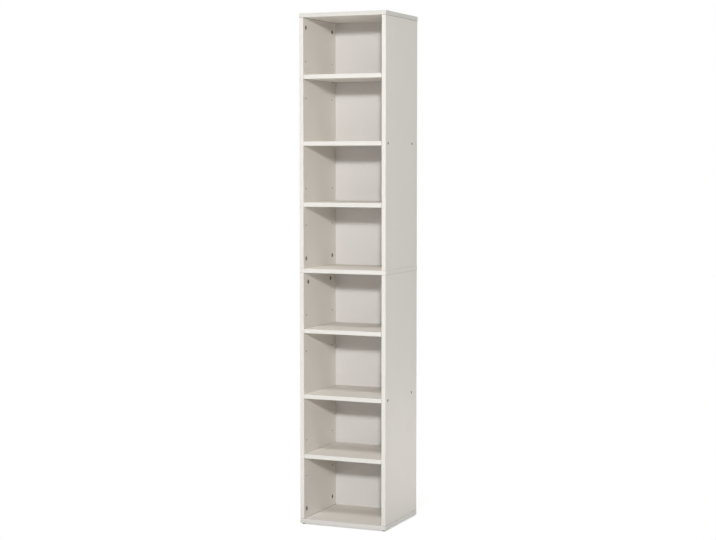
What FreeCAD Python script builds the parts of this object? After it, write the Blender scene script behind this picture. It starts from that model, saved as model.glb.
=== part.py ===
import FreeCAD, Part
import math
import os

# Narrow open bookcase in flat-pack construction: two four-compartment units share a middle board.
# Millimetres. The origin lies on the floor under the middle of the bookcase.
# +X is to the right seen from the front, +Y to the back and +Z up.

# Overall size, over the boards and down to the glides
overall_width = 328.0
overall_depth = 298.0
overall_height = 1800.0

# Coated boards
board_thickness = 15.0
board_overhang = 1.0  # the three panels run this far past the outer faces of the sides
edge_radius = 0.8

# Back panels, held in grooves
back_thickness = 3.0
back_recess = 17.0  # rear edges of the boards to the rear face of a back panel
groove_depth = 5.0
groove_clearance = 0.2  # all round a back panel's edge in its groove

# Loose shelves
shelf_end_gap = 1.0
shelf_back_gap = 2.0

# Drilling pattern of the sides
grid_pitch = 32.0
front_line = 23.0  # front edge to the front line of holes
rear_margin = 28.0  # least distance from the rear line of holes to the back panel
pin_row_steps = (-2, 0, 2)  # pin rows, in grid pitches from the middle of a half

# Cam fittings
cam_distance = 34.0  # end of a side to the middle of the cam lock
cam_diameter = 15.0
cam_web = 2.5  # board left under the cam bore
cam_sink = 0.2  # cam face below the board's face
cam_play = 0.4  # room for the bolt inside the cam
cross_length = 7.0
cross_width = 1.5
cross_depth = 2.0
bolt_thread_diameter = 6.0
bolt_collar_diameter = 7.8
bolt_collar_length = 3.0
bolt_shaft_diameter = 6.0
bolt_neck_diameter = 4.0
bolt_neck_lead = 1.0  # neck starts this far before the cam's rim
bolt_head_diameter = 6.6
bolt_head_length = 4.5
bolt_web = 4.0  # board left beyond the bolt's hole

# Wooden dowels
dowel_diameter = 8.0
dowel_length = 30.0
dowel_chamfer = 1.0
dowel_web = 4.5  # board left beyond the dowel's hole

# Screws through the sides into the fixed shelves
screw_length = 50.0
screw_diameter = 6.3
screw_head_diameter = 9.4
screw_head_lip = 1.0
screw_tip_length = 3.0
socket_width = 4.0  # across the flats of the hexagon
socket_depth = 2.5

# Threads of bolts and screws, drawn as closed ridges
thread_pitch = 2.4
thread_height = 0.8

# Shelf pins
pin_hole_diameter = 5.0
pin_hole_web = 5.0  # board left beyond a pin hole
pin_reach = 8.0  # pin standing out of the side
pin_flat_height = 2.0  # flat that carries the shelf, above the pin's axis
pin_collar_diameter = 7.0
pin_collar_gap = 0.3  # collar to the end of the shelf
pin_chamfer = 0.7

# Glides under the bottom panel, each held by a nail
glide_height = 4.0
glide_diameter = 13.0
glide_inset = 11.0  # edges of the panel to the middle of the glide
glide_chamfer = 1.0
nail_diameter = 2.0
nail_head_diameter = 5.0
nail_head_thickness = 0.8
nail_sink = 0.6  # nail head above the foot of the glide
nail_web = 4.0  # board left beyond the nail's hole
nail_tip_length = 2.0

# Fits
fit_clearance = 0.1  # round a fastener in its hole
hole_end_gap = 0.5  # beyond the end of a fastener in a blind hole

# Planes across the width
side_outer = overall_width / 2 - board_overhang
side_inner = side_outer - board_thickness
side_middle = side_outer - board_thickness / 2

# Planes from front to back
front = -overall_depth / 2
rear = overall_depth / 2
back_rear = rear - back_recess
back_front = back_rear - back_thickness
inner_depth = back_front - front
line_steps = math.floor((inner_depth - front_line - rear_margin) / grid_pitch)
front_holes = front + front_line
rear_holes = front_holes + line_steps * grid_pitch

# Planes from the floor up
bottom_low = glide_height
bottom_high = bottom_low + board_thickness
top_low = overall_height - board_thickness
side_height = (top_low - bottom_high - board_thickness) / 2
middle_low = bottom_high + side_height
middle_high = middle_low + board_thickness
half_height = (side_height - board_thickness) / 2

# Fastener lengths that follow from the boards
cam_bore_depth = board_thickness - cam_web
bolt_grip = board_thickness - bolt_web - hole_end_gap
bolt_end = cam_distance + bolt_head_length / 2
dowel_grip = board_thickness - dowel_web - hole_end_gap
dowel_reach = dowel_length - dowel_grip
pin_grip = board_thickness - pin_hole_web - hole_end_gap
pin_radius = pin_hole_diameter / 2 - fit_clearance
pin_collar_thickness = shelf_end_gap - pin_collar_gap
nail_grip = board_thickness - nail_web - hole_end_gap
screw_cone_length = (screw_head_diameter - screw_diameter) / 2

# Joints between a panel and the ends of two sides: the panel's face, the way from it into the
# sides, and how far the fittings stand in from the lines of holes. Below the middle panel they
# stand half a pitch in, so that they miss those from above.
panel_joints = {
    "top": (top_low, -1, 0.0),
    "upper_base": (middle_high, 1, 0.0),
    "lower_head": (middle_low, -1, grid_pitch / 2),
    "bottom": (bottom_high, 1, 0.0),
}

# The two units: their lower and upper ends, and the joints there
units = {
    "lower": (bottom_high, middle_low, "bottom", "lower_head"),
    "upper": (middle_high, top_low, "upper_base", "top"),
}

sides = {"left": -1, "right": 1}
up = FreeCAD.Vector(0, 0, 1)
across = FreeCAD.Vector(1, 0, 0)


def point(x, y, z):
    return FreeCAD.Vector(x, y, z)


def block(low, high):
    size = high - low
    return Part.makeBox(size.x, size.y, size.z, low)


def board(low, high):
    raw = block(low, high)
    return raw.makeFillet(edge_radius, raw.Edges)


def rod(radius, start, end):
    way = end - start
    return Part.makeCylinder(radius, way.Length, start, way)


def turned(outline, base, axis):
    # Turns a closed outline of (radius, distance along the axis) points about the axis.
    corners = [point(radius, 0, along) for radius, along in outline]
    wire = Part.makePolygon(corners + corners[:1])
    solid = Part.Face(wire).revolve(point(0, 0, 0), up, 360)
    solid.Placement = FreeCAD.Placement(base, FreeCAD.Rotation(up, axis))
    return solid


def thread(crest_radius, start, end):
    # Outline of ridges between two distances along the axis.
    count = max(1, round(abs(end - start) / thread_pitch))
    step = (end - start) / count
    core_radius = crest_radius - thread_height
    outline = []
    for turn in range(count):
        outline.append((core_radius, start + turn * step))
        outline.append((crest_radius, start + (turn + 0.5) * step))
    outline.append((core_radius, end))
    return outline


def fitting_lines(inset):
    return (front_holes + inset, rear_holes - inset)


def dowel_lines(inset):
    return (front_holes + inset + grid_pitch, rear_holes - inset - grid_pitch)


def pin_heights(half_low):
    middle = half_low + half_height / 2
    return [middle + step * grid_pitch for step in pin_row_steps]


def fixed_shelf_low(unit):
    return units[unit][0] + half_height


def half_lows(unit):
    # Clear floor of the lower and the upper half of a unit.
    return {"low": units[unit][0], "high": fixed_shelf_low(unit) + board_thickness}


def shelf_low(unit, half):
    return half_lows(unit)[half] + half_height / 2 + pin_flat_height


def glide_centres():
    x = overall_width / 2 - glide_inset
    y = overall_depth / 2 - glide_inset
    return {
        "front_left": point(-x, -y, 0),
        "front_right": point(x, -y, 0),
        "rear_left": point(-x, y, 0),
        "rear_right": point(x, y, 0),
    }


def panel_joint_holes(joint):
    # Holes that bolts, dowels and the back panel need in a panel's face.
    face, way, inset = panel_joints[joint]
    holes = []
    for sign in sides.values():
        for y in fitting_lines(inset):
            start = point(sign * side_middle, y, face)
            end = start - up * way * (bolt_grip + hole_end_gap)
            holes.append(rod(bolt_thread_diameter / 2 + fit_clearance, start, end))
        for y in dowel_lines(inset):
            start = point(sign * side_middle, y, face)
            end = start - up * way * (dowel_grip + hole_end_gap)
            holes.append(rod(dowel_diameter / 2 + fit_clearance, start, end))
    reach = side_inner + groove_depth
    bottom = face - way * groove_depth
    low = point(-reach, back_front - groove_clearance, min(face, bottom))
    high = point(reach, back_rear + groove_clearance, max(face, bottom))
    return holes + [block(low, high)]


def panel(low, joints):
    half_width = overall_width / 2
    shape = board(point(-half_width, front, low), point(half_width, rear, low + board_thickness))
    holes = []
    for joint in joints:
        holes += panel_joint_holes(joint)
    return shape.cut(holes)


def bottom_panel():
    shape = panel(bottom_low, ["bottom"])
    holes = []
    for centre in glide_centres().values():
        start = centre + up * bottom_low
        end = start + up * (nail_grip + hole_end_gap)
        holes.append(rod(nail_diameter / 2 + fit_clearance, start, end))
    return shape.cut(holes)


def side_end_holes(sign, joint):
    # Bolt channels, cam bores and dowel holes at one end of a side.
    face, way, inset = panel_joints[joint]
    holes = []
    for y in fitting_lines(inset):
        start = point(sign * side_middle, y, face)
        end = start + up * way * (bolt_end + hole_end_gap)
        holes.append(rod(bolt_collar_diameter / 2 + fit_clearance, start, end))
        mouth = point(sign * side_inner, y, face + way * cam_distance)
        floor = mouth + across * sign * cam_bore_depth
        holes.append(rod(cam_diameter / 2 + fit_clearance, mouth, floor))
    for y in dowel_lines(inset):
        start = point(sign * side_middle, y, face)
        end = start + up * way * (dowel_reach + hole_end_gap)
        holes.append(rod(dowel_diameter / 2 + fit_clearance, start, end))
    return holes


def pin_holes(sign, half_low):
    holes = []
    for z in pin_heights(half_low):
        for y in (front_holes, rear_holes):
            mouth = point(sign * side_inner, y, z)
            floor = mouth + across * sign * (pin_grip + hole_end_gap)
            holes.append(rod(pin_hole_diameter / 2, mouth, floor))
    return holes


def screw_head_outline(clearance):
    # Head and shank of a screw, from its outer face to the inner face of the side.
    head_radius = screw_head_diameter / 2 + clearance
    shank_radius = screw_diameter / 2 + clearance
    return [
        (0, 0),
        (head_radius, 0),
        (head_radius, screw_head_lip),
        (shank_radius, screw_head_lip + screw_cone_length),
        (shank_radius, board_thickness),
    ]


def screw_places(unit):
    # Outer end and inward direction of each screw of a unit's fixed shelf.
    z = fixed_shelf_low(unit) + board_thickness / 2
    places = []
    for sign in sides.values():
        for y in (front_holes, rear_holes):
            places.append((point(sign * side_outer, y, z), across * -sign))
    return places


def side_panel(unit, sign):
    low, high, low_joint, high_joint = units[unit]
    x_low, x_high = sorted((sign * side_inner, sign * side_outer))
    shape = board(point(x_low, front, low), point(x_high, rear, high))
    holes = side_end_holes(sign, low_joint) + side_end_holes(sign, high_joint)
    for half_low in half_lows(unit).values():
        holes += pin_holes(sign, half_low)
    for place, way in screw_places(unit):
        if place.x * sign > 0:
            outline = screw_head_outline(fit_clearance) + [(0, board_thickness)]
            holes.append(turned(outline, place, way))
    x_low, x_high = sorted((sign * side_inner, sign * (side_inner + groove_depth)))
    groove_low = point(x_low, back_front - groove_clearance, low)
    groove_high = point(x_high, back_rear + groove_clearance, high)
    return shape.cut(holes + [block(groove_low, groove_high)])


def back_panel(unit):
    low, high = units[unit][:2]
    reach = groove_depth - groove_clearance
    corner_low = point(-side_inner - reach, back_front, low - reach)
    corner_high = point(side_inner + reach, back_rear, high + reach)
    return block(corner_low, corner_high)


def fixed_shelf(unit):
    low = fixed_shelf_low(unit)
    shape = board(point(-side_inner, front, low), point(side_inner, back_front, low + board_thickness))
    holes = []
    for place, way in screw_places(unit):
        end = place + way * (screw_length + hole_end_gap)
        holes.append(rod(screw_diameter / 2 + fit_clearance, place, end))
    return shape.cut(holes)


def loose_shelf(unit, half):
    low = shelf_low(unit, half)
    half_length = side_inner - shelf_end_gap
    rear_edge = back_front - shelf_back_gap
    return board(point(-half_length, front, low), point(half_length, rear_edge, low + board_thickness))


def cam_bolts(joint):
    face, way, inset = panel_joints[joint]
    shaft_end = cam_distance - cam_diameter / 2 - bolt_neck_lead
    head_start = cam_distance - bolt_head_length / 2
    collar_radius = bolt_collar_diameter / 2
    outline = [(0, -bolt_grip)]
    outline += thread(bolt_thread_diameter / 2, -bolt_grip, 0)
    outline += [
        (collar_radius, 0),
        (collar_radius, bolt_collar_length),
        (bolt_shaft_diameter / 2, bolt_collar_length),
        (bolt_shaft_diameter / 2, shaft_end),
        (bolt_neck_diameter / 2, shaft_end),
        (bolt_neck_diameter / 2, head_start),
        (bolt_head_diameter / 2, head_start),
        (bolt_head_diameter / 2, cam_distance),
        (bolt_neck_diameter / 2, bolt_end),
        (0, bolt_end),
    ]
    bolts = []
    for sign in sides.values():
        for y in fitting_lines(inset):
            bolts.append(turned(outline, point(sign * side_middle, y, face), up * way))
    return Part.makeCompound(bolts)


def cam_lock(sign, y, z, to_end):
    # One cam: its face looks inward, and the bolt comes in from the end of the side.
    cam_radius = cam_diameter / 2
    mouth = point(sign * (side_inner + cam_sink), y, z)
    floor = point(sign * (side_inner + cam_bore_depth), y, z)
    core = point(sign * side_middle, y, z)
    towards_end = up * to_end
    cavity_start = core + towards_end * (bolt_head_length / 2 + cam_play)
    head_cavity = rod(bolt_head_diameter / 2 + cam_play, cavity_start, core - towards_end * cam_diameter)
    neck_slot = rod(bolt_neck_diameter / 2 + cam_play, core, core + towards_end * cam_diameter)
    cuts = [head_cavity, neck_slot]
    x_low, x_high = sorted((mouth.x, mouth.x + sign * cross_depth))
    for half_y, half_z in ((cross_length / 2, cross_width / 2), (cross_width / 2, cross_length / 2)):
        cuts.append(block(point(x_low, y - half_y, z - half_z), point(x_high, y + half_y, z + half_z)))
    return rod(cam_radius, mouth, floor).cut(cuts)


def cam_locks(joint):
    face, way, inset = panel_joints[joint]
    locks = []
    for sign in sides.values():
        for y in fitting_lines(inset):
            locks.append(cam_lock(sign, y, face + way * cam_distance, -way))
    return Part.makeCompound(locks)


def dowels(joint):
    face, way, inset = panel_joints[joint]
    radius = dowel_diameter / 2
    outline = [
        (0, -dowel_grip),
        (radius - dowel_chamfer, -dowel_grip),
        (radius, dowel_chamfer - dowel_grip),
        (radius, dowel_reach - dowel_chamfer),
        (radius - dowel_chamfer, dowel_reach),
        (0, dowel_reach),
    ]
    pegs = []
    for sign in sides.values():
        for y in dowel_lines(inset):
            pegs.append(turned(outline, point(sign * side_middle, y, face), up * way))
    return Part.makeCompound(pegs)


def shelf_screws(unit):
    outline = screw_head_outline(0)
    outline += thread(screw_diameter / 2, board_thickness, screw_length - screw_tip_length)
    outline.append((0, screw_length))
    corner_radius = socket_width / math.sqrt(3)
    corners = []
    for turn in range(6):
        angle = math.radians(60 * turn)
        corners.append(point(corner_radius * math.cos(angle), corner_radius * math.sin(angle), 0))
    hexagon = Part.Face(Part.makePolygon(corners + corners[:1]))
    screws = []
    for place, way in screw_places(unit):
        socket = hexagon.extrude(up * socket_depth)
        socket.Placement = FreeCAD.Placement(place, FreeCAD.Rotation(up, way))
        screws.append(turned(outline, place, way).cut(socket))
    return Part.makeCompound(screws)


def shelf_pins(unit, half):
    collar_radius = pin_collar_diameter / 2
    outline = [
        (0, -pin_grip),
        (pin_radius - pin_chamfer, -pin_grip),
        (pin_radius, pin_chamfer - pin_grip),
        (pin_radius, 0),
        (collar_radius, 0),
        (collar_radius, pin_collar_thickness),
        (pin_radius, pin_collar_thickness),
        (pin_radius, pin_reach - pin_chamfer),
        (pin_radius - pin_chamfer, pin_reach),
        (0, pin_reach),
    ]
    z = shelf_low(unit, half)
    pins = []
    for sign in sides.values():
        x_low, x_high = sorted((sign * (side_inner - pin_collar_thickness), sign * (side_inner - pin_reach)))
        for y in (front_holes, rear_holes):
            seat = point(sign * side_inner, y, z - pin_flat_height)
            above = block(point(x_low, y - pin_radius, z), point(x_high, y + pin_radius, z + pin_radius))
            pins.append(turned(outline, seat, across * -sign).cut(above))
    return Part.makeCompound(pins)


def glide(centre):
    radius = glide_diameter / 2
    recess_radius = nail_head_diameter / 2 + fit_clearance
    nail_hole_radius = nail_diameter / 2 + fit_clearance
    recess_depth = nail_sink + nail_head_thickness
    outline = [
        (recess_radius, 0),
        (radius - glide_chamfer, 0),
        (radius, glide_chamfer),
        (radius, glide_height),
        (nail_hole_radius, glide_height),
        (nail_hole_radius, recess_depth),
        (recess_radius, recess_depth),
    ]
    return turned(outline, centre, up)


def glide_nails():
    head_radius = nail_head_diameter / 2
    tip = glide_height + nail_grip
    outline = [
        (0, nail_sink),
        (head_radius, nail_sink),
        (head_radius, nail_sink + nail_head_thickness),
        (nail_diameter / 2, nail_sink + nail_head_thickness),
        (nail_diameter / 2, tip - nail_tip_length),
        (0, tip),
    ]
    return Part.makeCompound([turned(outline, centre, up) for centre in glide_centres().values()])


nodes = {
    "top_panel": panel(top_low, ["top"]),
    "middle_panel": panel(middle_low, ["upper_base", "lower_head"]),
    "bottom_panel": bottom_panel(),
    "glide_nails": glide_nails(),
}
for unit in units:
    for side, sign in sides.items():
        nodes[f"{unit}_{side}_side"] = side_panel(unit, sign)
    nodes[f"{unit}_back_panel"] = back_panel(unit)
    nodes[f"{unit}_fixed_shelf"] = fixed_shelf(unit)
    nodes[f"{unit}_shelf_screws"] = shelf_screws(unit)
    for half in ("low", "high"):
        nodes[f"{unit}_{half}_shelf"] = loose_shelf(unit, half)
        nodes[f"{unit}_{half}_shelf_pins"] = shelf_pins(unit, half)
for joint in panel_joints:
    nodes[f"{joint}_cam_bolts"] = cam_bolts(joint)
    nodes[f"{joint}_cam_locks"] = cam_locks(joint)
    nodes[f"{joint}_dowels"] = dowels(joint)
for corner, centre in glide_centres().items():
    nodes[f"{corner}_glide"] = glide(centre)

os.makedirs("parts", exist_ok=True)
for name, shape in nodes.items():
    shape.exportStep(f"parts/{name}.step")
    print(name, len(shape.Solids), "solids", "valid" if shape.isValid() else "not valid")
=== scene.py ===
# %% [markdown]
# # A narrow bookcase of coated boards
# This lesson dresses a bookcase that is already built as solids. Two units of four compartments
# stand on each other and share a middle board. The solids give every board its true size, its
# rounded edges and its drilled holes, so they stay as they are. What is missing is the look: the
# warm white coating, the edge bands, the chipboard inside the holes and the small metal fittings.

# %% Load the solids
import math

import bpy
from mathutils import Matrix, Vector


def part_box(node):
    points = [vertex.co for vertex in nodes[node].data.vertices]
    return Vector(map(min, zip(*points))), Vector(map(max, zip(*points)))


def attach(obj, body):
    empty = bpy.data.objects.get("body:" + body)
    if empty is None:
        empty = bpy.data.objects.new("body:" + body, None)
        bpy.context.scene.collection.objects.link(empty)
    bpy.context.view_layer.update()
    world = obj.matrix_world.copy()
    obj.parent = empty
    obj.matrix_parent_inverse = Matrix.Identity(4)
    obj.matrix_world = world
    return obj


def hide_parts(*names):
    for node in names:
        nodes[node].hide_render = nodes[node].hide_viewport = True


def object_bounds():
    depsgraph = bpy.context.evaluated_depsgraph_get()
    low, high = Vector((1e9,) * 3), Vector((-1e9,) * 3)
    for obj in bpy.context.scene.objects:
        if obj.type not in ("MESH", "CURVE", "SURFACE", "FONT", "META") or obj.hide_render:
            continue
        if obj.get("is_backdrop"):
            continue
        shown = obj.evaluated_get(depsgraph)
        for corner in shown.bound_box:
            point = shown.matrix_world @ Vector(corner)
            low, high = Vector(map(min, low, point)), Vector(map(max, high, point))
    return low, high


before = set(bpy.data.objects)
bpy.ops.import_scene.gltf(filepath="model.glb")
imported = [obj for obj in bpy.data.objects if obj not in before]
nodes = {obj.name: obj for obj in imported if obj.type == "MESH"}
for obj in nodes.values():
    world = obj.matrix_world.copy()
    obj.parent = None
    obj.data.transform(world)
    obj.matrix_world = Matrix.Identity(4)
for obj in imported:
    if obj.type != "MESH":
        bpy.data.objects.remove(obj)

cad_low, cad_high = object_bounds()
print("solids:", len(nodes), "overall size:", [round(v, 4) for v in cad_high - cad_low])

# %% [markdown]
# ## Sums of sockets
# A finish is mostly arithmetic: how far a point lies from an edge, whether it lies inside a hole,
# how rough it is there. Such sums could be wired by hand, one Math node at a time. It reads better
# as Python, so this small class wraps a socket. Plus, minus and times on it add the Math nodes, and
# one method adds any other node. Shader trees and Geometry Nodes trees share these node types, so
# the same class serves both.


# %% A socket that can be used in sums
class Flow:
    """One output socket of a node tree, or the blank start of a tree."""

    def __init__(self, tree, socket=None):
        self.tree = tree
        self.socket = socket

    def add(self, kind, settings=(), sockets=(), output=0):
        """Adds a node: its settings first, then the values or links of its sockets.

        The setting "stops" fills a colour ramp, and "choices" counts the items of an Index Switch.
        Sockets go by name or number, and a list of links goes to one socket that takes several.
        """
        node = self.tree.nodes.new(kind)
        for name, value in dict(settings).items():
            if name == "stops":
                for place, colour in value[2:]:
                    node.color_ramp.elements.new(place)
                for element, (place, colour) in zip(node.color_ramp.elements, value):
                    element.position = place
                    element.color = colour
            elif name == "choices":
                for _ in range(value - 2):
                    node.index_switch_items.new()
            else:
                setattr(node, name, value)
        for name, value in dict(sockets).items():
            for item in value if isinstance(value, list) else [value]:
                if isinstance(item, Flow):
                    self.tree.links.new(item.socket, node.inputs[name])
                else:
                    node.inputs[name].default_value = item
        return Flow(self.tree, node.outputs[output] if node.outputs else None)

    def maths(self, operation, first, second):
        return self.add("ShaderNodeMath", {"operation": operation}, {0: first, 1: second})

    def __add__(self, other):
        return self.maths("ADD", self, other)

    def __radd__(self, other):
        return self.maths("ADD", other, self)

    def __sub__(self, other):
        return self.maths("SUBTRACT", self, other)

    def __rsub__(self, other):
        return self.maths("SUBTRACT", other, self)

    def __mul__(self, other):
        return self.maths("MULTIPLY", self, other)

    def __rmul__(self, other):
        return self.maths("MULTIPLY", other, self)

    def __abs__(self):
        return self.maths("ABSOLUTE", self, 0.0)

    def least(self, other):
        return self.maths("MINIMUM", self, other)

    def most(self, other):
        return self.maths("MAXIMUM", self, other)

    def rise(self, start, end):
        """0 below start, 1 above end and a smooth step between."""
        sockets = {"Value": self, "From Min": start, "From Max": end}
        return self.add("ShaderNodeMapRange", {"interpolation_type": "SMOOTHSTEP"}, sockets)

    def blend(self, first, second):
        """The first colour where this is 0 and the second where it is 1.

        A Mix node has sockets for each type of data: 4 and 5 for vectors, 6 and 7 for colours.
        """
        return self.add("ShaderNodeMix", {"data_type": "RGBA"}, {0: self, 6: first, 7: second}, 2)


print("sockets can be added, subtracted and multiplied")

# %% [markdown]
# ## Small tools for finishes
# Every finish starts in the same way: a material, its tree and its surface shader. The patterns
# could be laid out on unwrapped faces, but boards and fittings have hundreds of them. Object
# coordinates need no unwrapping, and here they are metres, so a pattern has its true size on every
# piece. That is why the noise below asks for the width of its lumps and not for a scale.

# %% Tools for finishes
MM = 0.001


def new_finish(name):
    """A material, the start of its tree and its surface shader."""
    material = bpy.data.materials.new(name)
    material.use_nodes = True
    tree = material.node_tree
    return material, Flow(tree), tree.nodes["Principled BSDF"]


def set_surface(shader, **sockets):
    """Sets or links sockets of a surface shader, with _ for a space in their names."""
    for name, value in sockets.items():
        target = shader.inputs[name.replace("_", " ")]
        if isinstance(value, Flow):
            value.tree.links.new(value.socket, target)
        else:
            target.default_value = value


def object_place(flow):
    """The point being shaded, in metres from the object's origin."""
    return flow.add("ShaderNodeTexCoord", output="Object")


def noise(flow, place, grain, detail=2.0):
    """A noise from 0 to 1 whose lumps are about one grain wide."""
    sockets = {"Vector": place, "Scale": 1 / grain, "Detail": detail}
    return flow.add("ShaderNodeTexNoise", {"noise_dimensions": "3D"}, sockets)


def stretched(flow, place, scale):
    """Coordinates that make a pattern longer along each axis whose scale is below 1."""
    sockets = {"Vector": place, "Scale": scale}
    return flow.add("ShaderNodeMapping", {"vector_type": "POINT"}, sockets)


def bump(flow, height, distance):
    """A normal that leans as if the surface rose by the height, from 0 to 1, times the distance."""
    return flow.add("ShaderNodeBump", (), {"Height": height, "Distance": distance, "Strength": 1.0})


print("a millimetre is", MM, "of the scene's unit")

# %% [markdown]
# ## Chipboard inside the boards
# Under their coating the boards are pressed wood chips, which show on sawn edges and on the walls
# of holes and grooves. Plain brown noise would look like earth. A Voronoi texture is nearer to the
# real thing, because each of its cells is one flake with one shade. A noise bends the outlines, so
# that the flakes don't look cut with scissors, and a finer one adds the dust between them.

# %% The chipboard colour
CHIP_LENGTH = 2.6 * MM
CHIP_BEND = 2.2 * MM
BENDS_PER_CHIP = 0.3
DUST_SIZE = 0.35 * MM
DUST_SHARE = 0.3
CHIP_STOPS = [
    (0.0, (0.20, 0.115, 0.055, 1)),
    (0.35, (0.36, 0.235, 0.125, 1)),
    (0.7, (0.50, 0.355, 0.205, 1)),
    (1.0, (0.62, 0.475, 0.30, 1)),
]


def chipboard_colour(flow, place):
    """The colour of the chips, from dark to pale, and the shade that also serves as their height."""
    sockets = {"Vector": place, "Scale": BENDS_PER_CHIP / CHIP_LENGTH}
    wobble = flow.add("ShaderNodeTexNoise", (), sockets, "Color")
    sockets = {0: CHIP_BEND, 4: place, 5: wobble}
    bent = flow.add("ShaderNodeMix", {"data_type": "VECTOR"}, sockets, 1)
    sockets = {"Vector": bent, "Scale": 1 / CHIP_LENGTH}
    chips = flow.add("ShaderNodeTexVoronoi", (), sockets, "Color")
    shade = flow.add("ShaderNodeSeparateColor", (), {"Color": chips}, "Red")
    dust = noise(flow, place, DUST_SIZE)
    shade = shade * (1 - DUST_SHARE) + dust * DUST_SHARE
    return flow.add("ShaderNodeValToRGB", {"stops": CHIP_STOPS}, {"Fac": shade}), shade


print("chips are about", round(CHIP_LENGTH / MM, 1), "mm long")

# %% [markdown]
# ## Where a point lies on a board
# Each board has coated faces, edges with a glued band and sawn edges without one. The faces could
# be split and painted one by one, but the solids are not to be changed. Instead the finish asks
# how far a point lies in from each of the six sides of its board. Close to a face is coating, close
# to a banded edge is band, and deeper in is chipboard.

# %% Distances inside a board
SOFT_STEP = 0.06 * MM


def board_edges(flow, place, name):
    """How far a point lies in from each of the six sides of a board."""
    low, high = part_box(name)
    edges = {}
    for axis, below, above in (("X", "left", "right"), ("Y", "front", "rear"), ("Z", "lower", "upper")):
        along = flow.add("ShaderNodeSeparateXYZ", (), {"Vector": place}, axis)
        edges[below] = along - low["XYZ".index(axis)]
        edges[above] = high["XYZ".index(axis)] - along
    return edges


def nearest(distances):
    """The least of several distances."""
    least = distances[0]
    for distance in distances[1:]:
        least = least.least(distance)
    return least


def past(distance, limit):
    """0 up to the limit and 1 beyond it, with a step too short to see."""
    return distance.rise(limit, limit + SOFT_STEP)


print("step from one finish to the next:", round(SOFT_STEP / MM, 2), "mm")

# %% [markdown]
# ## Where chipboard is bare
# Chipboard shows on sawn edges, in grooves and on the walls of holes. Distance alone can't tell the
# wall of a hole, because it begins right at a coated face. The holes could be marked on the mesh,
# but the normal already says enough: on a face it points straight out of the board, and on the wall
# of a hole it lies across.

# %% Holes and raw edges
COATING_THICKNESS = 0.12 * MM
BAND_THICKNESS = 0.9 * MM
ROUNDING_REACH = 0.5 * MM
WALL_LEAN = 0.3
FACE_LEAN = 0.6


def hole_walls(flow, edges, faces):
    """1 on walls that stand square to the faces and lie away from the edges of the board."""
    normal = flow.add("ShaderNodeTexCoord", output="Normal")
    axis = "X" if "left" in faces else "Z"
    across = flow.add("ShaderNodeSeparateXYZ", (), {"Vector": normal}, axis)
    square = 1 - abs(across).rise(WALL_LEAN, FACE_LEAN)
    inside = nearest([edges[side] for side in edges if side not in faces])
    return square * past(inside, BAND_THICKNESS)


def bare_chipboard(flow, edges, faces, raw):
    """1 where chipboard shows: deep in the board, on raw edges and on the walls of holes."""
    under_coating = past(nearest([edges[side] for side in faces]), COATING_THICKNESS)
    bare = past(nearest(list(edges.values())), ROUNDING_REACH)
    if raw:
        on_raw = 1 - past(nearest([edges[side] for side in raw]), ROUNDING_REACH)
        bare = bare.most(on_raw * under_coating)
    return bare.most(hole_walls(flow, edges, faces) * under_coating)


print("band:", round(BAND_THICKNESS / MM, 2), "mm, coating:", round(COATING_THICKNESS / MM, 2), "mm")

# %% [markdown]
# ## The coated board
# The coating is a thin paper, pressed on with a fine pebbled skin, the pearl, that breaks up
# reflections. The plastic band on the edges is smoother, and a hair line of glue marks where it
# ends. Where a side meets a panel, a thin dark line of uneven width is painted along its sawn
# corner: partly the raw corner, partly painted shade of the joint. In holes and grooves the bare
# chipboard is painted darker with depth, as painted shade. One flat white would look painted, so
# the coating also has faint clouds. The pearl could be modelled, but its lumps are half a
# millimetre wide, so a bump and a change of roughness stand for it.

# %% The colour of the coating
COATING = (0.790, 0.752, 0.698, 1)
COATING_CLOUD = (0.784, 0.746, 0.691, 1)
CLOUD_SIZE = 90 * MM
BAND = (0.760, 0.733, 0.688, 1)
GLUE_LINE = (0.52, 0.48, 0.42, 1)
GLUE_LINE_WIDTH = 0.12 * MM
GLUE_LINE_SHARE = 0.6
# Painted shade: a near-black line along the sawn corner where a side meets a panel, partly the raw
# corner.
JOINT_SHADE_LINE = (0.050, 0.032, 0.020, 1)
JOINT_SHADE_WAVE = 14 * MM
JOINT_SHADE_CHANGE = 0.6


def coat_colour(flow, place, edges, to_band, band, shaded_joints):
    """Clouded coating on the faces, the band on the edges, the glue line, and dark lines at the shaded
    joints, partly sawn corner and partly painted shade.
    """
    past_band = past(to_band, BAND_THICKNESS)
    cloud = noise(flow, place, CLOUD_SIZE, 1.0).rise(0.35, 0.65)
    coat = past_band.blend(band, cloud.blend(COATING, COATING_CLOUD))
    glue = past_band - past(to_band, BAND_THICKNESS + GLUE_LINE_WIDTH)
    coat = (glue * GLUE_LINE_SHARE).blend(coat, GLUE_LINE)
    # Along each shaded joint a dark line of uneven width is painted: partly sawn corner, partly painted
    # shade.
    for side, joint_shade_width in dict(shaded_joints).items():
        wave = noise(flow, place, JOINT_SHADE_WAVE) * JOINT_SHADE_CHANGE
        width = joint_shade_width * (1 - JOINT_SHADE_CHANGE / 2 + wave)
        line = 1 - (edges[side] - width).rise(-SOFT_STEP, SOFT_STEP)
        coat = line.blend(coat, JOINT_SHADE_LINE)
    return coat


print("glue line:", round(GLUE_LINE_WIDTH / MM, 2), "mm wide, clouds:", round(CLOUD_SIZE / MM), "mm")

# %% The board finish
PEARL_SIZE = 0.55 * MM
PEARL_HEIGHT = 0.022
SWELL_SIZE = 6 * MM
SWELL_HEIGHT = 0.015
CHIP_HEIGHT = 0.25
BAND_ROUGHNESS = 0.40
FACE_ROUGHER = 0.07
PEARL_ROUGHER = 0.06
CHIP_ROUGHNESS = 0.9
# Painted shade: the chipboard in holes and grooves turns near black with depth.
PAINTED_BORE_SHADE = (0.030, 0.019, 0.011, 1)
PAINTED_BORE_SHADE_START = 0.1 * MM
PAINTED_BORE_SHADE_END = 1.0 * MM
PAINTED_BORE_SHADE_SHARE = 0.9


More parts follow.
